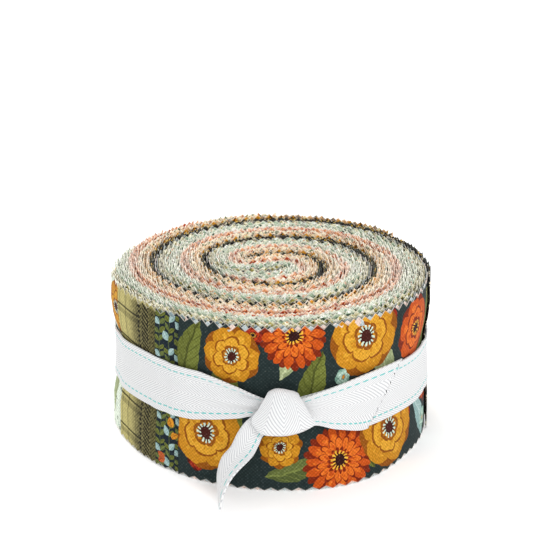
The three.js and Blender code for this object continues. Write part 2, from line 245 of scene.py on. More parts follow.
def drawn_in(points, height):
    """Plan points at a height, drawn in by the tie."""
    offset = points - FOLD_PIVOT
    distance = np.linalg.norm(offset, axis=-1)
    sideways = (offset[..., 0] / np.maximum(distance, 1)) ** 2
    heights, front, side = np.array(SIDE).T
    inward = np.interp(height, heights, front) * (1 - sideways)
    inward = inward + np.interp(height, heights, side) * sideways
    outermost = (distance / SIDE_RADIUS) ** 2
    direction = np.degrees(np.arctan2(offset[..., 1], offset[..., 0]))
    for bulge in BULGES:
        away = np.minimum(np.abs(direction - bulge["direction"]) / bulge["spread"], 1)
        share = np.clip((height - bulge["starts"]) / (bulge["full"] - bulge["starts"]), 0, 1)
        inward = inward - bulge["outward"] * outermost * share * (1 + np.cos(math.pi * away)) / 2
    return FOLD_PIVOT + offset * (1 - inward * distance / SIDE_RADIUS ** 2)[..., None]


BUNDLE_LAYERS = 9
BUNDLE_LEAN = 0.16


def layer_lean(plan, layer):
    """How far each point of a layer's top leans outward, so that gaps open between bundles."""
    around = np.arctan2(plan[:, 1], plan[:, 0])
    away = np.hypot(plan[:, 0], plan[:, 1])
    turn = 2 * math.pi * layer / BUNDLE_LAYERS + 1.3 * np.sin(2 * around)
    turn = turn + 0.7 * np.sin(5 * around + 1) + away * 0.07
    return BUNDLE_LEAN * (np.sin(turn) + 0.4 * np.sin(2 * turn)) * np.minimum(away / 12, 1)


def loose_end(strip):
    """Where a strip ends: where the stack that goes on is as thick as the strips below it."""
    if strip < len(LOOSE_ENDS):
        return LOOSE_ENDS[strip]
    turned = np.arange(LOOSE_ENDS[-1], LAST_TURNED + 1)
    left = read_table(TAPER, turned) / read_table(PACKING, turned)
    below = 1 - strip / STRIP_COUNT
    if below <= left[-1]:
        return LAST_TURNED + LAST_STAGGER * (left[-1] - below) * STRIP_COUNT
    return float(np.interp(-below, -left, turned))


def deselect_all():
    """Leaves nothing selected for the next operator to act on."""
    for piece in bpy.context.selected_objects:
        piece.select_set(False)


def cut_cloth(name, columns, rows):
    """A flat grid of cloth, with the column and the row of each of its points."""
    deselect_all()
    bpy.ops.mesh.primitive_grid_add(x_subdivisions=columns, y_subdivisions=rows, size=1)
    cloth = bpy.context.object
    cloth.name = name
    cloth.data.name = name
    cloth.data.uv_layers[0].name = "cloth"
    corners = np.empty(len(cloth.data.vertices) * 3)
    cloth.data.vertices.foreach_get("co", corners)
    corners = corners.reshape(-1, 3)
    column = np.rint((corners[:, 0] + 0.5) * columns).astype(int)
    row = np.rint((corners[:, 1] + 0.5) * rows).astype(int)
    return cloth, column, row


def set_flat_place(cloth, flat):
    """Keeps each point's place on the flat cloth, in metres, as its UV map."""
    mesh = cloth.data
    vertex = np.empty(len(mesh.loops), dtype=np.int32)
    mesh.loops.foreach_get("vertex_index", vertex)
    mesh.uv_layers["cloth"].data.foreach_set("uv", (flat[vertex] * MM).astype(np.float32).ravel())


def set_points(cloth, points):
    """Moves each point of the cloth to its place, given in millimetres."""
    cloth.data.vertices.foreach_set("co", (points * MM).astype(np.float32).ravel())
    cloth.data.update()


def thicken(cloth, thickness, crease):
    """Gives the cloth its thickness: its second material is on the back and on the cut edges."""
    deselect_all()
    cloth.select_set(True)
    bpy.context.view_layer.objects.active = cloth
    solidify = cloth.modifiers.new("thickness", "SOLIDIFY")
    solidify.thickness = thickness * MM
    solidify.offset = 0
    solidify.material_offset = 1
    solidify.material_offset_rim = 1
    bpy.ops.object.modifier_apply(modifier=solidify.name)
    bpy.ops.object.shade_smooth_by_angle(angle=math.radians(crease))


# How high the outer strips and the innermost, black ones stand off the table. The others each
# lie at a level of their own.
FRONT_LEVELS = [0.05, 0.3, 0.15, 0.3]
FIRST_BLACK = 37
BLACK_LEVEL = 0.5

# How far a strip lies off its even place, at most: its fold along its length, its layers in
# shares of a layer, its level and its slope, its waver, and the lift and lean of each tooth.
FOLD_SCATTER = 2.4
LAYER_SCATTER = 0.12
LEVEL_SCATTER = 1.6
SLOPE_SCATTER = 0.5
WAVER = 0.09
TOOTH_LIFT = 0.35
TOOTH_LEAN = 0.16
# The inner half of a strip ends this many degrees before its outer half.
HALF_STAGGER = 2.4


def wind_strip(strip, chance):
    """Cuts one strip, pinks its edges, folds it in half and winds it at its place."""
    rows = len(ROW_HEIGHTS) - 1
    cloth, column, row = cut_cloth(f"strip_{strip + 1:02d}", COLUMNS, rows)
    along = column / COLUMNS * STRIP_LENGTH
    height = np.array(ROW_HEIGHTS, float)[row]
    valley = column % 2 == 1
    height[valley & (row == 0)] = LOWER_TOOTH_DEPTH
    height[valley & (row == rows)] = STRIP_WIDTH - TOOTH_DEPTH
    set_flat_place(cloth, np.stack([along, height], axis=-1))

    fold = STRIP_LENGTH / 2 + chance.uniform(-FOLD_SCATTER, FOLD_SCATTER)
    halves = []
    for layer in (LAYERS - 1 - 2 * strip, LAYERS - 2 - 2 * strip):
        share = (layer + 0.5 + chance.uniform(-LAYER_SCATTER, LAYER_SCATTER)) / LAYERS
        end = loose_end(strip) - HALF_STAGGER * (layer % 2 == 0)
        halves.append(unevenly(layer_path(share, end)))
    # The fold's tip lies midway between the halves and a little past them.
    tip = (halves[0][0] + halves[1][0]) / 2
    tip = tip + (tip - (halves[0][1] + halves[1][1]) / 2) * 0.3
    outer, inner = (np.concatenate([[tip], half]) for half in halves)
    places = []
    for half, span in ((outer, fold), (inner, STRIP_LENGTH - fold)):
        step = np.linalg.norm(np.diff(half, axis=0), axis=1)
        reached = np.concatenate([[0], np.cumsum(step)])
        places.append(reached / reached[-1] * span)
    path = np.concatenate([outer[::-1], inner[1:]])
    place = np.concatenate([fold - places[0][::-1], fold + places[1][1:]])
    plan = np.stack([np.interp(along, place, path[:, axis]) for axis in (0, 1)], axis=-1)

    # No strip lies quite level with its neighbours, and none reaches under the table.
    in_front = strip < len(FRONT_LEVELS)
    level = FRONT_LEVELS[strip] if in_front else LEVEL_SCATTER * chance.random() ** 1.4
    slope = chance.uniform(-SLOPE_SCATTER, SLOPE_SCATTER) * (not in_front)
    if strip >= FIRST_BLACK:
        level, slope = BLACK_LEVEL, 0
    lift = np.maximum(level + slope * np.abs(along - fold) / fold, 0)
    outward = plan - FOLD_PIVOT
    outward /= np.maximum(np.linalg.norm(outward, axis=1, keepdims=True), 1)
    phase = chance.uniform(0, 6.3)
    layer = LAYERS - 1 - 2 * strip - (along > fold)
    lean = layer_lean(plan, layer) + WAVER * np.sin(along * 0.11 + phase)
    lean *= row >= rows - 1
    # Each tooth stands its own way.
    own = np.random.RandomState(strip).uniform(-1, 1, (2, COLUMNS + 1))[:, column] * (row == rows)
    lean += TOOTH_LEAN * own[0]
    lift += TOOTH_LIFT * own[1] * ~valley
    plan = drawn_in(plan + outward * lean[:, None], height)
    set_points(cloth, np.column_stack([plan, height + lift]))
    return cloth


# The tie: 20 mm herringbone twill tape, in one length from its left end to its right one

TAPE_WIDTH = 20
TAPE_THICKNESS = 0.6
TAPE_COLUMNS = 16
TAPE_STEP = 1.3
PINK_DEPTH = 1.6
# The band's rows, how far their middle stands off the roll, and how low the tape may come.
BAND_DIRECTIONS = np.arange(-84, 262, 3.0)
BAND_OFF = 0.58
TAPE_LOWEST = 0.35
# Left of the knot the band is gathered: where that starts, over how many degrees it grows,
# and how deep its creases get.
GATHER_START = 222
GATHER_SPAN = 38
GATHER_DEPTH = 0.9

# The tape's upper and lower edge round the roll, by direction.
UPPER_EDGE = [
    (-87, 36.4), (-77, 38.2), (-67, 40), (-57, 41), (-48, 41.2), (-37, 40.4), (-27, 39.7),
    (-18, 39.2), (90, 40.8), (180, 42.1), (190, 42.4), (201, 43), (212, 44.1),
    (223, 44.3), (243, 44.5), (250, 43.2), (258, 40.7), (264, 38), (268, 37.4),
]
LOWER_EDGE = [
    (-87, 28), (-77, 26.6), (-67, 23), (-57, 20.4), (-48, 20.6), (-37, 20.5), (-27, 19.9),
    (-18, 19.6), (90, 21.2), (180, 23), (192, 23.1), (199, 22.3), (212, 23),
    (224, 23.3), (240, 24.8), (248, 26.7), (258, 29.2), (263, 30.9), (268, 30),
]

# The left tail stands on its cut end and rises to the knot. Each row has the edge by the
# roll, the soft fold down the middle and the front edge.
LEFT_TAIL = [
    [(-18.6, -62.9, 0.5), (-19.6, -71.6, 0.5), (-19.2, -81.4, 0.5)],
    [(-18.5, -63, 3.2), (-20.1, -69.8, 4), (-17.9, -80.8, 7)],
    [(-18.3, -63.2, 6.7), (-20.2, -68.5, 7.7), (-15.4, -79, 12)],
    [(-17.3, -63.5, 10.7), (-19.6, -67.7, 11.4), (-12.6, -76.5, 14.7)],
    [(-15.5, -64, 14.7), (-18, -67.4, 15.7), (-9.7, -74, 16.6)],
    [(-13, -64.6, 19.2), (-14.9, -67.6, 19.5), (-7.1, -71.6, 18.5)],
    [(-10.8, -65.2, 25), (-12, -67.6, 25.5), (-5.2, -69.8, 21.4)],
    [(-7.6, -65.8, 30.6), (-7.9, -67.4, 30.2), (-2.8, -68.6, 25.6)],
]

# The tape then rises behind the knot, is gathered over its top, spreads down its front to
# its full width, and is tucked under. Left edge, three points between, and right edge.
WRAP = [
    [(-4.6, -66, 34.5), (-2.4, -66.8, 33.5), (0.5, -67.2, 32), (3.4, -67.2, 31), (6, -66.8, 30.5)],
    [(-1.6, -65.6, 39.5), (0.8, -66, 39.6), (3.4, -66.2, 39.6), (6, -66, 39.2), (8, -65.6, 38.2)],
    [(-1.4, -66.2, 40.9), (1, -66.6, 42.1), (4.2, -66.9, 42), (6.8, -66.6, 41.3), (8.8, -66, 40)],
    [(-2, -67.6, 40.7), (0.5, -68.6, 41.9), (4.2, -69.2, 41.7), (7, -68.6, 40.8), (9.2, -67.4, 39.6)],
    [(-2.9, -68.4, 39.3), (0.2, -70.4, 39.8), (4.2, -71, 39.6), (7.8, -70.2, 39), (10.4, -68.2, 38)],
    [(-5.4, -69, 34.9), (-1.2, -71.6, 35), (4, -72.3, 34.8), (8.8, -71.4, 34.6), (12.4, -68.8, 34.4)],
    [(-7.7, -69.2, 31.4), (-2.8, -72, 30.2), (3.8, -72.8, 30), (9.8, -71.6, 30.4), (14.2, -68.9, 31.2)],
    [(-7.2, -69.3, 29.4), (-3.8, -71.6, 26.9), (3.6, -72.2, 26.6), (10, -70.8, 27.5), (15, -68.4, 29.4)],
    [(-5.8, -68.4, 29), (-3, -69.8, 26.6), (3.6, -70.4, 26.3), (9.6, -69.2, 27.2), (14.6, -67.2, 29)],
    [(-4, -66.6, 30.4), (-1.6, -67.6, 29.2), (3, -68, 29), (7.6, -67.2, 29.6), (11.2, -66, 30.8)],
]

# In front the tape runs at a slant: its edges are shifted by this many rows.
WRAP_SKEW = 0.8

# Under the knot the tape turns from upright to level. Upper edge, middle and lower edge.
TUCK = [
    [(-1.4, -65, 36.2), (2.2, -65.6, 33.6), (6.2, -65.2, 31.4)],
    [(1, -64.9, 37.4), (3.2, -65.2, 33), (5.6, -65, 28.8)],
]

# It comes back from the left, passes under the wrap and lies over the band as the right
# tail, cut at a slant. Direction and height of the upper and of the lower edge, and how far
# the tape stands off the roll.
RIGHT_TAIL = [
    [-94, 37.2, -94, 29.8, 1.8],
    [-88, 37.2, -88, 28.4, 3.6],
    [-82, 38, -80.5, 27.2, 3.5],
    [-76, 39.4, -76.5, 26.2, 2.8],
    [-71, 40.3, -72, 24, 2.4],
    [-65.5, 41.2, -67.5, 22.4, 2.1],
    [-58, 42.1, -63.5, 21, 1.8],
    [-49, 42.5, -60.2, 20.2, 1.7],
    [-40, 42.3, -57.2, 20.2, 1.7],
]


def outside_distance(direction):
    """Distance from the fold pivot to the outside of the roll in a direction."""
    turned = (FIRST_DIRECTION - direction) % 360
    while turned < LAST_TURNED - 360:
        turned += 360
    inner = face_distance(turned)
    return float(inner + read_table(TAPER, turned) * (face_distance(turned + 360) - inner))


def beside_roll(direction, height, off):
    """A point beside the roll, off its drawn-in side. The tape bridges steps of a few degrees."""
    distance = max(outside_distance(direction + turn) for turn in (-3, 0, 3))
    side = drawn_in(FOLD_PIVOT + distance * towards(direction), height)
    side = side + off * towards(direction)
    return np.array([side[0], side[1], height])


def smooth_curve(points, places):
    """Reads a smooth curve through the points, at places from 0 to the last point's number."""
    points = np.asarray(points, float)
    last = len(points) - 1
    index = np.clip(np.floor(places).astype(int), 0, last - 1)
    before = points[np.maximum(index - 1, 0)]
    after = points[np.minimum(index + 2, last)]
    t = (places - index).reshape((-1,) + (1,) * (points.ndim - 1))
    return curve_between(before, points[index], points[index + 1], after, t)


def skew(rows, turn):
    """Turns the tape's length on its surface: its two edges are read earlier and later."""
    places = np.arange(len(rows), dtype=float)
    fade = np.sin(math.pi * places / places[-1])
    sides = np.linspace(turn, -turn, rows.shape[1])
    columns = [smooth_curve(rows[:, j], places + side * fade) for j, side in enumerate(sides)]
    return np.stack(columns, axis=1)


def spread_row(points):
    """A row of the tape's mesh from a few points across the tape."""
    return smooth_curve(points, np.linspace(0, len(points) - 1, TAPE_COLUMNS + 1))


def tape_rows():
    """Every row of the tape, from the foot of the left tail to the right tail's cut end."""
    wrap = skew(np.array([spread_row(points) for points in WRAP]), WRAP_SKEW)
    rows = [spread_row(points) for points in LEFT_TAIL] + list(wrap)
    rows += [spread_row(points) for points in TUCK]
    share = np.linspace(0, 1, TAPE_COLUMNS + 1)
    courses = []
    for direction in BAND_DIRECTIONS:
        upper = float(read_table(UPPER_EDGE, direction))
        lower = float(read_table(LOWER_EDGE, direction))
        near = np.clip((direction - GATHER_START) / GATHER_SPAN, 0, 1) ** 1.5
        crease = GATHER_DEPTH * near * np.cos(share * math.pi * 4) + GATHER_DEPTH * near
        courses.append((direction, upper, direction, lower, BAND_OFF + crease))
    for upper_at, upper, lower_at, lower, off in courses + RIGHT_TAIL:
        directions = upper_at + (lower_at - upper_at) * share
        heights = upper + (lower - upper) * share
        offs = np.broadcast_to(off, share.shape)
        rows.append(np.array([beside_roll(*at) for at in zip(directions, heights, offs)]))
    return np.array(rows)


def make_tie():
    """One length of tape, laid along its rows, with both cut ends pinked."""
    rows = tape_rows()
    middle = rows[:, TAPE_COLUMNS // 2]
    reached = np.concatenate([[0], np.cumsum(np.linalg.norm(np.diff(middle, axis=0), axis=1))])
    count = int(reached[-1] / TAPE_STEP)
    at = np.linspace(0, reached[-1], count + 1)
    rows = smooth_curve(rows, np.interp(at, reached, np.arange(len(rows))))
    for end, beside in ((0, 1), (count, count - 1)):
        back = rows[beside] - rows[end]
        back *= PINK_DEPTH / np.linalg.norm(back, axis=1, keepdims=True)
        rows[end, 1::2] += back[1::2]
    cloth, column, row = cut_cloth("tape", count, TAPE_COLUMNS)
    across = TAPE_COLUMNS - row
    flat = np.stack([column * reached[-1] / count, TAPE_WIDTH * row / TAPE_COLUMNS], axis=-1)
    set_flat_place(cloth, flat)
    points = rows[column, across]
    points[:, 2] = np.maximum(points[:, 2], TAPE_LOWEST)
    set_points(cloth, points)
    return cloth, reached[-1]


# Materials

def shade(code):
    """An sRGB hex value as linear red, green and blue."""
    parts = [int(code[i:i + 2], 16) / 255 for i in (1, 3, 5)]
    linear = [
        part / 12.92 if part <= 0.04045 else ((part + 0.055) / 1.055) ** 2.4 for part in parts
    ]
    return linear + [1]


def add(tree, kind, inputs=(), operation=None, **settings):
    """Adds a node with its settings and links. A node given as an input means its first output."""
    node = tree.nodes.new(kind if kind.startswith("NodeGroup") else "ShaderNode" + kind)
    if operation:
        node.operation = operation
    for name, value in settings.items():
        setattr(node, name, value)
    for place, value in inputs.items() if isinstance(inputs, dict) else enumerate(inputs):
        if isinstance(value, bpy.types.Node):
            value = value.outputs[0]
        if isinstance(value, bpy.types.NodeSocket):
            tree.links.new(value, node.inputs[place])
        else:
            node.inputs[place].default_value = value
    return node


def calc(tree, operation, *values):
    """A sum, a comparison or the like on one to three values."""
    return add(tree, "Math", values, operation)


def split(tree, vector):
    """The three parts of a vector, by the names of its axes."""
    return add(tree, "SeparateXYZ", [vector]).outputs


def noise(tree, place, scale, detail):
    """Soft noise, about 1 / scale millimetres from one cloud to the next."""
    return add(tree, "TexNoise", {"Vector": place, "Scale": scale, "Detail": detail})


def ripple(tree, along, times):
    """A sine wave along a value."""
    return calc(tree, "SINE", calc(tree, "MULTIPLY", along, times))


def bars(tree, along, times, share):
    """Along a value, 1 in the first share of each repeat and 0 in the rest."""
    repeat = calc(tree, "MULTIPLY", along, times)
    return calc(tree, "LESS_THAN", calc(tree, "FRACT", repeat), share)


def paint_over(tree, colour, tone, *masks):
    """Lays a tone over a colour, as strongly as the product of its masks."""
    mask = masks[0]
    for other in masks[1:]:
        mask = calc(tree, "MULTIPLY", mask, other)
    return add(tree, "MixRGB", [mask, colour, tone])


def seen_from(tree, place, centre):
    """The angle, in radians, and the distance of a place about a centre."""
    offset = add(tree, "VectorMath", [place, centre], "SUBTRACT")
    parts = split(tree, offset)
    angle = calc(tree, "ARCTAN2", parts["Y"], parts["X"])
    return angle, add(tree, "VectorMath", [offset], "LENGTH").outputs["Value"]


def start_group(name, takes, gives):
    """A node group with the sockets it takes and gives, listed by their kind."""
    tree = bpy.data.node_groups.new(name, "ShaderNodeTree")
    for way, kinds in (("INPUT", takes), ("OUTPUT", gives)):
        for kind, sockets in kinds.items():
            for socket in sockets:
                tree.interface.new_socket(socket, in_out=way, socket_type="NodeSocket" + kind)
    return tree, add(tree, "NodeGroupInput").outputs


def place_after(tree, place, colour):
    """The same place, but known only once the colour is, so that motifs are drawn in turn.

    The renderer would otherwise work all of them out at once, and run out of room.
    """
    trace = add(tree, "VectorMath", {0: colour, "Scale": 1e-6}, "SCALE")
    return add(tree, "VectorMath", [place, trace], "ADD")


def blossom_group():
    """A flower seen from above: rings of petals, brushed shading, a heart and its seeds."""
    tree, given = start_group("blossom", {
        "Vector": ["Place", "Centre"], "Float": ["Radius", "Turn", "Petals", "Notch"],
        "Color": ["Under", "Rim", "Flesh", "Shade", "Heart", "Seeds"],
    }, {"Color": ["Over"], "Vector": ["Place"]})
    angle, length = seen_from(tree, given["Place"], given["Centre"])
    reach = calc(tree, "DIVIDE", length, given["Radius"])
    angle = calc(tree, "ADD", angle, given["Turn"])
    half_petals = calc(tree, "MULTIPLY", given["Petals"], 0.5)
    wave = calc(tree, "MULTIPLY", angle, half_petals)
    solid = calc(tree, "SUBTRACT", 1, given["Notch"])
    edges = []
    for turn in ("SINE", "COSINE"):
        lobe = calc(tree, "ABSOLUTE", calc(tree, turn, wave))
        lobe = calc(tree, "POWER", lobe, 0.55)
        edges.append(calc(tree, "MULTIPLY_ADD", lobe, given["Notch"], solid))
    front, back = edges
    around = calc(tree, "MULTIPLY", angle, 3.2)
    outward = calc(tree, "MULTIPLY", reach, 1.5)
    brush = add(tree, "CombineXYZ", [around, outward, given["Turn"]])
    stroke = noise(tree, brush, 1.6, 1)
    colour = given["Under"]
    # From the rim to the heart: the outline, its size, its tone and the strokes on it.
    layers = [
        (back, 1, given["Shade"], None),
        (front, 0.95, given["Flesh"], given["Rim"]),
        (back, 0.66, given["Shade"], None),
        (back, 0.6, given["Rim"], given["Flesh"]),
        (front, 0.36, given["Shade"], given["Flesh"]),
    ]
    for edge, size, tone, streak in layers:
        limit = calc(tree, "MULTIPLY", edge, size)
        inside = calc(tree, "LESS_THAN", reach, limit)
        if streak is not None:
            inner = calc(tree, "MULTIPLY", limit, 0.8)
            depth = calc(tree, "LESS_THAN", reach, inner)
            dark = calc(tree, "GREATER_THAN", stroke, 0.53)
            tone = paint_over(tree, tone, streak, dark, depth)
        colour = paint_over(tree, colour, tone, inside)
    inside = calc(tree, "LESS_THAN", reach, 0.2)
    colour = paint_over(tree, colour, given["Heart"], inside)
    ring = calc(tree, "COMPARE", reach, 0.2, 0.055)
    dots = ripple(tree, angle, 13)
    dots = calc(tree, "GREATER_THAN", dots, 0.1)
    colour = paint_over(tree, colour, given["Seeds"], dots, ring)
    add(tree, "NodeGroupOutput", [colour, place_after(tree, given["Place"], colour)])
    return tree


def leaf_group():
    """A pointed leaf in two tones, with a midrib and slanting side veins."""
    tree, given = start_group("leaf", {
        "Vector": ["Place", "Base"], "Float": ["Length", "Breadth", "Turn", "Bend"],
        "Color": ["Under", "Fill", "Vein"],
    }, {"Color": ["Over"], "Vector": ["Place"]})
    offset = add(tree, "VectorMath", [given["Place"], given["Base"]], "SUBTRACT")
    back = calc(tree, "MULTIPLY", given["Turn"], -1)
    turned = add(tree, "VectorRotate", {"Vector": offset, "Angle": back}, rotation_type="Z_AXIS")
    parts = split(tree, turned)
    share = calc(tree, "DIVIDE", parts["X"], given["Length"])
    rest = calc(tree, "SUBTRACT", 1, share)
    arch = calc(tree, "MULTIPLY", share, rest)
    arch = calc(tree, "MULTIPLY", arch, 4)
    bow = calc(tree, "MULTIPLY", arch, given["Bend"])
    side = calc(tree, "DIVIDE", parts["Y"], given["Breadth"])
    side = calc(tree, "SUBTRACT", side, bow)
    width = calc(tree, "ABSOLUTE", side)
    inside = calc(tree, "LESS_THAN", width, arch)
    pale = paint_over(tree, given["Fill"], given["Vein"], 0.3)
    half = calc(tree, "GREATER_THAN", side, 0)
    tone = paint_over(tree, given["Fill"], pale, half)
    slant = calc(tree, "MULTIPLY_ADD", width, -0.22, share)
    vein = bars(tree, slant, 7, 0.13)
    tone = paint_over(tree, tone, given["Vein"], vein, 0.7)
    rib = calc(tree, "LESS_THAN", width, 0.09)
    tone = paint_over(tree, tone, given["Vein"], rib)
    colour = paint_over(tree, given["Under"], tone, inside)
    add(tree, "NodeGroupOutput", [colour, place_after(tree, given["Place"], colour)])
    return tree


THREAD_SPACING = 0.7


def cotton_group():
    """Quilting cotton: an even plain weave of about 70 threads an inch, and a dry, matt face.

    Takes the printed colour, and gives the finished surface. The real threads are 0.36 mm
    apart, and are drawn 0.7 mm apart so that they show. The ink is worn off their tops in
    specks. Along the pinked edges the cut threads show pale. Inside the roll shade is painted
    into the colour, darker towards the foot of the teeth, where little light gets in.
    """
    tree, given = start_group("quilting cotton", {
        "Color": ["Print"], "Vector": ["Place"], "Float": ["Painted Foot Shade", "Fray", "Light"],
    }, {"Shader": ["Surface"]})
    parts = split(tree, given["Place"])
    column = STRIP_LENGTH / COLUMNS
    tooth = calc(tree, "PINGPONG", parts["X"], column)
    top = calc(tree, "MULTIPLY_ADD", tooth, -TOOTH_DEPTH / column, STRIP_WIDTH)
    top = calc(tree, "SUBTRACT", top, parts["Y"])
    low = calc(tree, "MULTIPLY_ADD", tooth, -LOWER_TOOTH_DEPTH / column, parts["Y"])
    from_edge = calc(tree, "MINIMUM", top, low)
    fray = add(tree, "MapRange", [from_edge, 0.12, 0.32, given["Fray"], 0])
    # A loose end's last millimetres lie outside the roll, in the light: no shade is painted there.
    from_end = calc(tree, "PINGPONG", parts["X"], STRIP_LENGTH / 2)
    inside = add(tree, "MapRange", [from_end, 8, 16, 0, 1])
    # Painted shade: inside the roll the colour darkens towards the foot of the teeth.
    painted_foot_shade = add(tree, "MapRange", [parts["Y"], STRIP_WIDTH - 0.5, STRIP_WIDTH - 2.4, 0, 1])
    painted_foot_shade = calc(tree, "MULTIPLY", painted_foot_shade, inside)
    painted_foot_shade = calc(tree, "MULTIPLY", painted_foot_shade, given["Painted Foot Shade"])
    threads = [ripple(tree, parts[way], math.pi / THREAD_SPACING) for way in ("X", "Y")]
    weave = calc(tree, "MULTIPLY", *threads)
    slub = noise(tree, given["Place"], 0.9, 3)
    texture = calc(tree, "MULTIPLY_ADD", weave, 0.2, slub)
    cloud = noise(tree, given["Place"], 0.12, 2)
    light = calc(tree, "MULTIPLY_ADD", texture, 1.1, given["Light"])
    light = calc(tree, "MULTIPLY_ADD", cloud, 0.06, light)
    light = calc(tree, "SUBTRACT", light, painted_foot_shade)
    colour = add(tree, "VectorMath", {0: given["Print"], "Scale": light}, "SCALE")
    worn = add(tree, "MapRange", [texture, 0.6, 0.95, 0, 0.08])
    colour = paint_over(tree, colour, shade("#c9c9c2"), worn)
    colour = paint_over(tree, colour, shade("#f6f1e6"), fray)
    bump = add(tree, "Bump", {"Height": texture, "Strength": 0.35, "Distance": 0.0001})
    cloth = add(tree, "BsdfPrincipled", {
        "Base Color": colour, "Roughness": 0.9, "Specular IOR Level": 0.15,
        "Sheen Weight": 0.04, "Sheen Roughness": 0.5, "Normal": bump,
    })
    add(tree, "NodeGroupOutput", [cloth])
    return tree


BLOSSOM = blossom_group()
LEAF = leaf_group()
COTTON = cotton_group()


def start_material(name):
    """A new material, its empty node tree, and the place on the flat cloth in millimetres."""
    material = bpy.data.materials.new(name)
    material.use_nodes = True
    tree = material.node_tree
    tree.nodes.clear()
    cloth = add(tree, "UVMap", uv_map="cloth")
    return material, tree, add(tree, "VectorMath", {0: cloth, "Scale": 1 / MM}, "SCALE")


def hand_drawn(tree, place):
    """The place on the flat strip, with the waver of a print drawn by hand."""
    waver = noise(tree, place, 0.22, 2).outputs["Color"]
    waver = add(tree, "VectorMath", [waver, (0.5, 0.5, 0.5)], "SUBTRACT")
    waver = add(tree, "VectorMath", {0: waver, "Scale": 2.6}, "SCALE")
    drawn = add(tree, "VectorMath", [place, waver], "ADD")
    return add(tree, "VectorMath", [drawn, (1, 1, 0)], "MULTIPLY")


# The colours of the big flowers: rim, flesh, shade, heart and seeds of each kind.
PETAL_COLOURS = {
    "gold": ("#c69028", "#b47a18", "#824807", "#3c140c", "#b9cab8"),
    "orange": ("#c9631b", "#b0480f", "#6e2006", "#2a0e0c", "#d8a233"),
    "rust": ("#a83613", "#85210d", "#4a0e08", "#180f0d", "#cd9733"),
    "mint": ("#b0c7b8", "#93b1a1", "#66897a", "#c98526", "#6f2812"),
}
LEAF_COLOURS = {
    "olive": ("#646b2d", "#43481a"),
    "moss": ("#49532a", "#6d773c"),
    "sage": ("#87926a", "#aab38a"),
    "pale": ("#7d9b99", "#a9bebb"),
    "straw": ("#a8a264", "#585c2c"),
    "amber": ("#d08a22", "#8a5210"),
    "russet": ("#bb5b2c", "#7b3418"),
}


def grow_leaf(tree, colour, place, base, length, breadth, turn, kind, bend=0.1):
    fill, vein = LEAF_COLOURS[kind]
    leaf = add(tree, "Group", {
        "Under": colour, "Place": place, "Base": (*base, 0), "Length": length, "Breadth": breadth,
        "Turn": math.radians(turn), "Bend": bend, "Fill": shade(fill), "Vein": shade(vein),
    }, node_tree=LEAF)
    return leaf.outputs


def grow_blossom(tree, colour, place, centre, radius, turn, petals, notch, kind):
    rim, flesh, dark, heart, seeds = (shade(code) for code in PETAL_COLOURS[kind])
    blossom = add(tree, "Group", {
        "Under": colour, "Place": place, "Centre": (*centre, 0), "Radius": radius, "Turn": turn,
        "Petals": petals, "Notch": notch, "Rim": rim, "Flesh": flesh, "Shade": dark,
        "Heart": heart, "Seeds": seeds,
    }, node_tree=BLOSSOM)
    return blossom.outputs


# A generic garden print for the 140 mm of the outermost strip that show. Leaves: base, length,
# breadth, turn, kind and bend.
GARDEN_LEAVES = [
    ((2, 30), 34, 5.5, 78, "olive", 0.4),
    ((14, 40), 26, 5, 66, "moss", -0.5),
    ((26, 22), 30, 5, 100, "olive", 0.6),
    ((40, 44), 22, 4, 58, "sage", 0.3),
    ((34, 6), 24, 4, 20, "moss", -0.6),
    ((52, 26), 28, 5, 82, "olive", 0.5),
    ((66, 48), 20, 4, 40, "straw", 0.2),
    ((62, 20), 22, 3.6, -48, "olive", 0.4),
    ((88, 30), 26, 5, 118, "sage", -0.4),
    ((92, 6), 24, 4.6, 66, "olive", 0.5),
    ((108, 34), 30, 5, 64, "moss", -0.5),
    ((104, 22), 24, 4, -62, "pale", 0.3),
    ((124, 20), 30, 5, 96, "olive", 0.4),
    ((118, 60), 24, 4, -40, "straw", 0.3),
    ((130, 44), 22, 4, 60, "sage", 0.3),
    ((140, 6), 26, 5, 100, "olive", 0.3),
]
# Blossoms: centre, radius, turn in radians, petals, notch and kind.
GARDEN_BLOSSOMS = [
    ((8, 8), 4.2, 0.4, 5, 0.4, "rust"),
    ((30, 60), 4, 0.9, 5, 0.4, "rust"),
    ((86, 60), 3.8, 0.2, 5, 0.4, "rust"),
    ((98, 18), 3.6, 1.2, 5, 0.4, "rust"),
    ((132, 58), 4.2, 0.5, 5, 0.4, "rust"),
    ((64, 42), 3.4, 0.5, 5, 0.4, "mint"),
    ((116, 8), 4.4, 0.5, 6, 0.4, "mint"),
    ((45, 60), 12.5, 0.2, 14, 0.5, "orange"),
    ((22, 52), 11, 0.6, 6, 0.26, "gold"),
    ((12, 20), 15, 0.3, 5, 0.22, "gold"),
    ((74, 56), 15.5, 0.9, 6, 0.22, "gold"),
    ((62, 10), 14, 0.1, 15, 0.5, "orange"),
    ((40, 17), 8, 0.7, 7, 0.35, "gold"),
    ((86, 16), 15, 0.5, 5, 0.2, "gold"),
    ((104, 50), 13, 0.8, 6, 0.24, "orange"),
    ((120, 26), 12, 0.3, 13, 0.5, "orange"),
    ((128, 48), 7, 0.3, 6, 0.3, "gold"),
]


def garden_print(tree, place, drawn):
    """Big garden flowers and leaves, crowded on dark teal."""
    colour = shade("#1e2a2a")
    for leaf in GARDEN_LEAVES:
        colour, drawn = grow_leaf(tree, colour, drawn, *leaf)
    for blossom in GARDEN_BLOSSOMS:
        colour, drawn = grow_blossom(tree, colour, drawn, *blossom)
    return colour


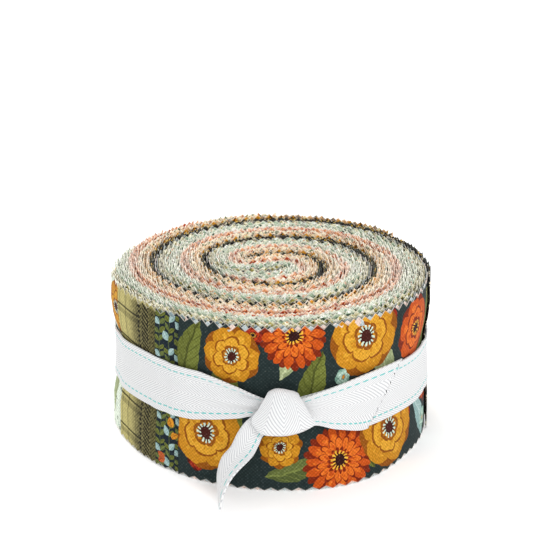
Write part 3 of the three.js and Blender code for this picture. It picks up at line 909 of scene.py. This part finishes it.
# The vine's repeat, its stems and its leaves, and the autumn ones, which come once, by the
# strip's loose end.
VINE_TILE = (9.4, 12.7)
VINE_STEMS = (2.4, 6.9)
VINE_LEAVES = [
    ((2.4, 0.2), 3.4, 0.9, 140, "olive"),
    ((2.5, 0.4), 3.5, 0.9, 52, "moss"),
    ((2.4, 3.4), 3.4, 0.9, 152, "moss"),
    ((2.5, 3.6), 3.6, 1, 48, "olive"),
    ((2.5, 6.6), 3.9, 1.2, 142, "pale"),
    ((2.5, 6.8), 3.4, 0.9, 44, "moss"),
    ((2.4, 9.6), 3.2, 0.9, 148, "olive"),
    ((2.5, 9.6), 3.2, 0.8, 46, "olive"),
    ((6.9, 0.8), 3.4, 0.8, 58, "olive"),
    ((6.8, 1.4), 4.2, 1.3, 128, "pale"),
    ((6.9, 4.4), 3.2, 0.9, 40, "olive"),
    ((6.8, 5), 3.6, 0.8, 120, "moss"),
    ((6.9, 8.2), 3.9, 1.2, 54, "pale"),
    ((6.8, 8.4), 3.2, 0.9, 132, "olive"),
]
AUTUMN_LEAVES = [
    ((8.4, 17.5), 4.2, 1.5, 118, "amber", 0.2),
    ((8.2, 13), 3.6, 1.3, 50, "amber", 0.2),
    ((1.2, 6), 4.4, 1.3, -36, "russet", 0.2),
    ((1.4, 2.4), 4, 1.2, 20, "russet", 0.2),
]


def wrapped(tree, place, tile):
    """A place within a repeat of the print."""
    return add(tree, "VectorMath", [place, (*tile, 1), (0, 0, 0)], "WRAP")


def vine_print(tree, place, drawn):
    """Two climbing stems with paired leaves, on navy."""
    colour = shade("#131e26")
    # Halfway between the two places, so that it wavers half as much.
    drawn = add(tree, "VectorMath", [place, drawn], "ADD")
    drawn = add(tree, "VectorMath", [drawn, (0.5, 0.5, 0)], "MULTIPLY")
    tile = wrapped(tree, drawn, VINE_TILE)
    across = split(tree, tile)["X"]
    for stem in VINE_STEMS:
        line = calc(tree, "COMPARE", across, stem, 0.16)
        colour = paint_over(tree, colour, shade("#46522f"), line)
    for leaf in VINE_LEAVES:
        colour, tile = grow_leaf(tree, colour, tile, *leaf)
    for leaf in AUTUMN_LEAVES:
        colour, drawn = grow_leaf(tree, colour, drawn, *leaf)
    return colour


# The plaid's repeat, along the strip and up it.
PLAID_TILE = (30, 12.5)


def plaid_print(tree, place, drawn):
    """A traditional country plaid: khaki, with dark lines, a row of pegs and hatched stripes.

    Its dark lines stop at the hatched stripes.
    """
    tile = wrapped(tree, place, PLAID_TILE)
    across, up = (split(tree, tile)[way] for way in ("X", "Y"))
    height = split(tree, place)["Y"]
    broad = calc(tree, "COMPARE", across, 26.7, 3.1)
    colour = paint_over(tree, shade("#b0a66a"), shade("#968e53"), broad)
    dark = shade("#343012")
    quiet = calc(tree, "LESS_THAN", across, 17.6)
    # The way they are counted, their place, half their width and their weight.
    lines = [
        (up, 6.2, 0.4, 0.9), (up, 4, 1, 0.4), (across, 7, 0.35, 0.7), (across, 8.2, 0.3, 0.25),
        (across, 2, 0.35, 0.35), (across, 13.6, 0.3, 0.25),
    ]
    for way, at, half, weight in lines:
        line = calc(tree, "COMPARE", way, at, half)
        colour = paint_over(tree, colour, dark, line, weight, quiet)
    # Pegs in one column, then slanting strokes beside them.
    for at, half, slant, pitch, share in ((17.3, 0.65, 0, 2, 0.55), (21.2, 2, 0.7, 1.75, 0.5)):
        stroke = calc(tree, "MULTIPLY_ADD", across, slant, height)
        stroke = bars(tree, stroke, 1 / pitch, share)
        column = calc(tree, "COMPARE", across, at, half)
        colour = paint_over(tree, colour, dark, stroke, column)
    return colour


def meadow_print(tree, place, drawn):
    """Loose yellow flowers on a pale ground with small dark spots."""
    colour = scatter(tree, drawn, 4.4, 0.9, 2, shade("#d3dccd"), shade("#55634e"), shade("#9fb0a4"))
    tile = wrapped(tree, drawn, (26, 80))
    colour, tile = grow_leaf(tree, colour, tile, (3, 6), 30, 2.6, 84, "sage", 0.3)
    colour, tile = grow_leaf(tree, colour, tile, (18, 3), 34, 2.4, 78, "olive", -0.3)
    colour, tile = grow_blossom(tree, colour, tile, (8, 52), 10.5, 0.4, 6, 0.35, "gold")
    return grow_blossom(tree, colour, tile, (21, 42), 6.5, 0.9, 5, 0.35, "gold")[0]


def scatter(tree, place, pitch, reach, petals, ground, ink, second):
    """Small flowers or dots strewn over the ground, each turned its own way."""
    cells = add(tree, "TexVoronoi", {"Vector": place, "Scale": 1 / pitch, "Randomness": 0.75},
                voronoi_dimensions="2D")
    angle, length = seen_from(tree, place, cells.outputs["Position"])
    own = add(tree, "SeparateColor", [cells.outputs["Color"]]).outputs
    angle = calc(tree, "MULTIPLY_ADD", own["Red"], 6, angle)
    lobe = calc(tree, "ABSOLUTE", ripple(tree, angle, petals / 2))
    edge = calc(tree, "MULTIPLY_ADD", lobe, 0.5 * reach, 0.5 * reach)
    motif = calc(tree, "LESS_THAN", length, edge)
    heart = calc(tree, "LESS_THAN", length, 0.3 * reach)
    other = calc(tree, "GREATER_THAN", own["Green"], 0.5)
    petal = paint_over(tree, ink, second, other)
    colour = paint_over(tree, ground, petal, motif)
    return paint_over(tree, colour, ground, heart)


def line_check(tree, place, pitch, reach, ground, ink, second):
    """A check of fine and broad lines."""
    colour = ground
    parts = split(tree, place)
    for way, share, tone in (("X", 0.35, ink), ("Y", 0.35, second), ("X", 0.08, second)):
        line = bars(tree, parts[way], 1 / pitch, share)
        colour = paint_over(tree, colour, tone, line, reach / 2)
    return colour


# The small prints of the other strips, from the fifth out to the last: ground, two inks,
# repeat, size of the motif, and its petals, or 0 for a check.
SMALL_PRINTS = [
    ("#75763c", "#fff8d6", "#262c10", 3, 1.4, 4),
    ("#aaa058", "#fffbe0", "#34340f", 3.4, 1.5, 5),
    ("#bdbb88", "#ffffff", "#2b452c", 3, 1.3, 5),
    ("#dbddc0", "#45694c", "#dd8c22", 2.6, 1.1, 5),
    ("#a6bda4", "#ffffff", "#1d3c28", 2.6, 1, 2),
    ("#e8e6ca", "#5c7834", "#cd6822", 3.2, 1.4, 6),
    ("#b4cab6", "#ffffff", "#3c6850", 2.8, 1.2, 0),
    ("#ced4b8", "#384f24", "#ffffff", 3, 1.3, 4),
    ("#9cb59e", "#fbfff4", "#1b3627", 2.8, 1.2, 5),
    ("#eceada", "#749c84", "#84903a", 2.4, 1, 2),
    ("#b9cbb0", "#204833", "#ffffff", 3.4, 1.5, 5),
    ("#d4dbc2", "#687628", "#ffffff", 2.6, 1.1, 0),
    ("#acc4ae", "#ffffff", "#d8861c", 3, 1.2, 6),
    ("#e2e2ca", "#406a52", "#6c7a36", 2.6, 1.1, 4),
    ("#c8cdb4", "#ffffff", "#2a4f3a", 3, 1.3, 5),
    ("#eecaac", "#b8461c", "#ffffff", 3, 1.4, 5),
    ("#e6a279", "#fff8ea", "#86240c", 2.6, 1.1, 4),
    ("#f3d4b6", "#c85826", "#485a2c", 3.4, 1.5, 6),
    ("#e08e60", "#fffaee", "#922c0c", 2.8, 1.2, 0),
    ("#f1c8a2", "#9c2e10", "#ffffff", 2.6, 1, 2),
    ("#e8a87a", "#fffcf2", "#a63414", 3, 1.3, 5),
    ("#f7dcc0", "#c25828", "#782810", 2.8, 1.2, 5),
    ("#e39a6a", "#fff6e8", "#8a2a10", 3.2, 1.3, 6),
    ("#fbeed2", "#d4861a", "#74906c", 3.2, 1.4, 5),
    ("#f7e6c6", "#b07f38", "#ffffff", 2.6, 1, 2),
    ("#fcf0d8", "#bf6422", "#4c6636", 3.4, 1.5, 6),
    ("#e9b148", "#fff6c8", "#844806", 3, 1.3, 5),
    ("#f4e2b2", "#8a5208", "#d08a1c", 2.8, 1.2, 5),
    ("#de9a30", "#fff0b4", "#623404", 2.6, 1.1, 4),
    ("#edbc5a", "#fffbd8", "#9c580a", 3, 1.2, 0),
    ("#f7ecd2", "#26251c", "#d8982c", 2.8, 1.3, 5),
    ("#df9c30", "#fff4c4", "#4a2c08", 3.2, 1.4, 6),
    ("#dcae52", "#15150f", "#fff2cc", 2.6, 1.4, 4),
    ("#1d1e18", "#e8c468", "#6a6a50", 2.8, 1.1, 5),
    ("#171a18", "#e0b850", "#56625a", 2.8, 1.1, 5),
    ("#131312", "#e6dcc0", "#3a2a1c", 2.6, 0.9, 2),
]
# The big prints of the four outermost, with the wrong side's colour and its ghost of the print.
BIG_PRINTS = [
    (garden_print, "#a4afb1", "#cdb8ae"),
    (vine_print, "#74868a", "#55665c"),
    (plaid_print, "#b9b183", "#9c9158"),
    (meadow_print, "#efebdc", "#dfdcca"),
]

# How dark the shade painted at the foot of the teeth inside the roll gets, how pale the cut
# threads are, how much of its light the print gives back, and how far the wrong side is faded.
PAINTED_FOOT_SHADE = 0.85
BIG_FRAY, SMALL_FRAY, BLACK_FRAY = 0.35, 0.5, 0.05
BIG_LIGHT, SMALL_LIGHT = 0.57, 0.63
FADE, BLACK_FADE = 0.25, 0.03


def printed_cotton(strip):
    """The right side and the wrong side of one strip's cotton.

    The ink stays on the face of the cloth, so the wrong side is pale, with a ghost of
    the print.
    """
    big = strip < len(BIG_PRINTS)
    sides = []
    for side in ("right", "wrong"):
        material, tree, place = start_material(f"printed cotton {strip + 1:02d} {side} side")
        drawn = hand_drawn(tree, place)
        if big:
            design, pale, trace = BIG_PRINTS[strip]
            if side == "right":
                colour = design(tree, place, drawn)
            else:
                ghost = noise(tree, place, 0.25, 1)
                ghost = calc(tree, "GREATER_THAN", ghost, 0.5)
                colour = paint_over(tree, shade(pale), shade(trace), ghost)
        else:
            *codes, pitch, reach, petals = SMALL_PRINTS[strip - len(BIG_PRINTS)]
            inks = [shade(code) for code in codes]
            if petals:
                colour = scatter(tree, drawn, pitch, reach, petals, *inks)
            else:
                colour = line_check(tree, drawn, pitch, reach, *inks)
            if side == "wrong":
                fade = FADE if strip < FIRST_BLACK else BLACK_FADE
                colour = paint_over(tree, colour, shade("#f2eee6"), fade)
        # Every strip but the outermost gets painted shade at the foot of its teeth.
        cloth = add(tree, "Group", {
            "Print": colour, "Place": place, "Painted Foot Shade": 0 if strip == 0 else PAINTED_FOOT_SHADE,
            "Fray": BLACK_FRAY if strip >= FIRST_BLACK else BIG_FRAY if big else SMALL_FRAY,
            "Light": BIG_LIGHT if big else SMALL_LIGHT,
        }, node_tree=COTTON)
        add(tree, "OutputMaterial", [cloth])
        sides.append(material)
    return sides


# The tape's ribs: how many columns, their pitch along it and their slant. Then its stitches.
RIB_COLUMNS = 4
RIB_PITCH = 1.6
RIB_SLANT = 1.75
STITCH_INSET = 2.5
STITCH_HALF_WIDTH = 0.26
STITCH_PITCH = 3.1
STITCH_SHARE = 0.66


def twill_tape(name, has_stitches):
    """Bleached cotton tape, woven in herringbone: ribs at 30 degrees in four columns.

    The ribs are 0.8 mm apart, and the two lines of running stitch are teal thread.
    """
    material, tree, place = start_material(name)
    parts = split(tree, place)
    column = TAPE_WIDTH / RIB_COLUMNS
    zigzag = calc(tree, "PINGPONG", parts["Y"], column)
    rib = calc(tree, "MULTIPLY_ADD", zigzag, RIB_SLANT, parts["X"])
    rib = ripple(tree, rib, 2 * math.pi / RIB_PITCH)
    yarn = noise(tree, place, 2.2, 2)
    # Painted shade: the grooves between the ribs are darkened towards grey, with the yarn's own uneven
    # tone added.
    groove_shade_and_yarn = add(tree, "MapRange", [rib, -1, 0, 0.55, 0])
    groove_shade_and_yarn = calc(tree, "MULTIPLY_ADD", yarn, 0.12, groove_shade_and_yarn)
    colour = paint_over(tree, shade("#edeeee"), shade("#96979e"), groove_shade_and_yarn)
    if has_stitches:
        edge = calc(tree, "PINGPONG", parts["Y"], TAPE_WIDTH / 2)
        line = calc(tree, "COMPARE", edge, STITCH_INSET, STITCH_HALF_WIDTH)
        dash = bars(tree, parts["X"], 1 / STITCH_PITCH, STITCH_SHARE)
        colour = paint_over(tree, colour, shade("#6cc3bf"), line, dash)
    height = calc(tree, "MULTIPLY_ADD", yarn, 0.3, rib)
    bump = add(tree, "Bump", {"Height": height, "Strength": 0.35, "Distance": 0.00012})
    tape = add(tree, "BsdfPrincipled", {
        "Base Color": colour, "Roughness": 0.8, "Specular IOR Level": 0.3,
        "Sheen Weight": 0.2, "Normal": bump,
    })
    add(tree, "OutputMaterial", [tape])
    return material


# Making the pieces

SEED = 7
chance = random.Random(SEED)
for strip in range(STRIP_COUNT):
    cloth = wind_strip(strip, chance)
    for finish in printed_cotton(strip):
        cloth.data.materials.append(finish)
    thicken(cloth, CLOTH_THICKNESS, crease=50)
    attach(cloth, body)
    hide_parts("roll")

tie, tape_length = make_tie()
tie.data.materials.append(twill_tape("herringbone tape stitched side", True))
tie.data.materials.append(twill_tape("herringbone tape back", False))
thicken(tie, TAPE_THICKNESS, crease=60)
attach(tie, body)
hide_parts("tie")


# Table and light

def lay_table():
    """A plain white light table, which keeps the roll's own shadow faint."""
    deselect_all()
    bpy.ops.mesh.primitive_plane_add(size=8)
    table = bpy.context.object
    table.name = "table_top"
    material = bpy.data.materials.new("white acrylic light table")
    material.use_nodes = True
    acrylic = material.node_tree.nodes["Principled BSDF"]
    finish = {
        "Base Color": shade("#f8f8f8"), "Roughness": 0.9, "Specular IOR Level": 0,
        "Emission Color": (1, 1, 1, 1), "Emission Strength": 0.25,
    }
    for socket, value in finish.items():
        acrylic.inputs[socket].default_value = value
    table.data.materials.append(material)


LIGHT_AIM = (0, 0, 0.03)


def add_light(name, place, size, power):
    """A square softbox, aimed at the middle of the roll."""
    lamp = bpy.data.lights.new(name, "AREA")
    lamp.size = size
    lamp.energy = power
    light = bpy.data.objects.new(name, lamp)
    light.location = place
    away = np.array(place) - np.array(LIGHT_AIM)
    level = math.hypot(away[0], away[1])
    light.rotation_euler = (math.atan2(level, away[2]), 0, math.atan2(away[0], -away[1]))
    bpy.context.collection.objects.link(light)


def light_studio():
    """A white room with three softboxes."""
    world = bpy.data.worlds.new("studio")
    world.use_nodes = True
    walls = world.node_tree.nodes["Background"].inputs
    walls["Color"].default_value = (1, 1, 1, 1)
    walls["Strength"].default_value = 0.68
    bpy.context.scene.world = world
    add_light("key", (0.6, -1, 1), size=0.7, power=8)
    add_light("fill", (-0.9, -0.8, 0.8), size=0.8, power=0.8)
    add_light("top", (-0.3, 0.5, 1.2), size=0.5, power=7)


lay_table()
light_studio()
bpy.context.scene.view_settings.view_transform = "Standard"
